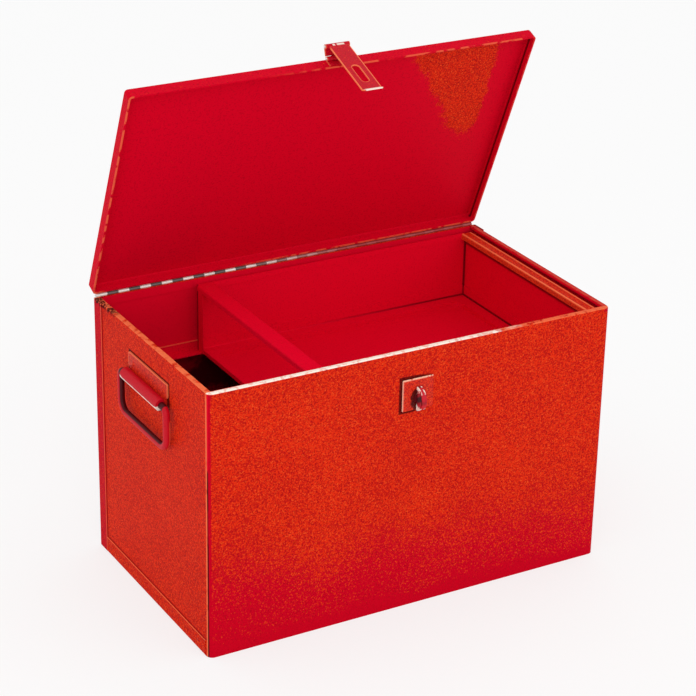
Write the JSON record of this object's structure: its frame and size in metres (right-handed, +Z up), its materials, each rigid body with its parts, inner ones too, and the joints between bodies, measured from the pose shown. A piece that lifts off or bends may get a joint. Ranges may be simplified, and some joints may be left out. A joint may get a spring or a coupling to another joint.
{
  "type": "tool chest",
  "caption": "Sheet-steel tool chest with a flat hinged lid standing open, a sliding inner tray, a link hasp over a turning padlock staple, and a drop handle on each end.",
  "frame": {"origin": "centre of the base's underside", "axes": "+X to the right seen from the front, +Y to the back, +Z up"},
  "size_m": [0.6416, 0.3819, 0.7282],
  "materials": {
    "red_paint": "textured",
    "tray_paint": "textured",
    "plated_steel": "plated"
  },
  "bodies": {
    "chest": {"front_wrap": "red_paint", "back_panel": "red_paint", "bottom_pan": "red_paint", "back_rail": "tray_paint", "front_rail": "tray_paint", "hinge_body_leaf": "plated_steel", "hinge_pin": "plated_steel", "lock_plate": "red_paint", "lock_plate_rivets": "red_paint", "left_handle_plate": "red_paint", "right_handle_plate": "red_paint", "left_handle_rivets": "red_paint", "right_handle_rivets": "red_paint"},
    "lid": {"lid_pan": "red_paint", "hinge_lid_leaf": "plated_steel", "hasp_leaf": "red_paint", "hasp_leaf_rivets": "red_paint", "hasp_leaf_pin": "plated_steel"},
    "link": {"hasp_link": "red_paint", "hasp_link_pin": "plated_steel"},
    "strap": {"hasp_strap": "red_paint"},
    "staple": {"swivel_staple": "red_paint", "staple_washer": "plated_steel"},
    "bail_left": {"left_bail": "red_paint"},
    "bail_right": {"right_bail": "red_paint"},
    "tray": {"tray_floor": "tray_paint", "tray_back_wall": "tray_paint", "tray_front_wall": "tray_paint", "tray_end_wall": "tray_paint", "tray_grip_bar": "tray_paint", "tray_end_cap": "tray_paint", "tray_rivets": "tray_paint"}
  },
  "joints": [
    {"name": "lid_hinge", "type": "hinge", "parent": "chest", "child": "lid", "pos_m": [0, 0.1763, 0.38025], "axis": [1, 0, 0], "range_deg": [-113, 67]},
    {"name": "hasp_link_hinge", "type": "hinge", "parent": "lid", "child": "link", "pos_m": [0, 0.05084, 0.70972], "axis": [1, 0, 0], "range_deg": [-44, 130]},
    {"name": "hasp_strap_hinge", "type": "hinge", "parent": "link", "child": "strap", "pos_m": [0, 0.05552, 0.72502], "axis": [1, 0, 0], "range_deg": [-128.1, 43.4]},
    {"name": "staple_turn", "type": "hinge", "parent": "chest", "child": "staple", "pos_m": [0, -0.1725, 0.3115], "axis": [0, 1, 0], "range_deg": [-90, 0]},
    {"name": "left_bail_swing", "type": "hinge", "parent": "chest", "child": "bail_left", "pos_m": [-0.3124, 0, 0.318], "axis": [0, 1, 0], "range_deg": [0, 175]},
    {"name": "right_bail_swing", "type": "hinge", "parent": "chest", "child": "bail_right", "pos_m": [0.3124, 0, 0.318], "axis": [0, -1, 0], "range_deg": [0, 175]},
    {"name": "tray_slide", "type": "slide", "parent": "chest", "child": "tray", "axis": [1, 0, 0], "range_m": [-0.138, 0]}
  ],
  "couplings": [
    {"joint": "hasp_strap_hinge", "follows": "hasp_link_hinge", "ratio": -0.98462}
  ]
}
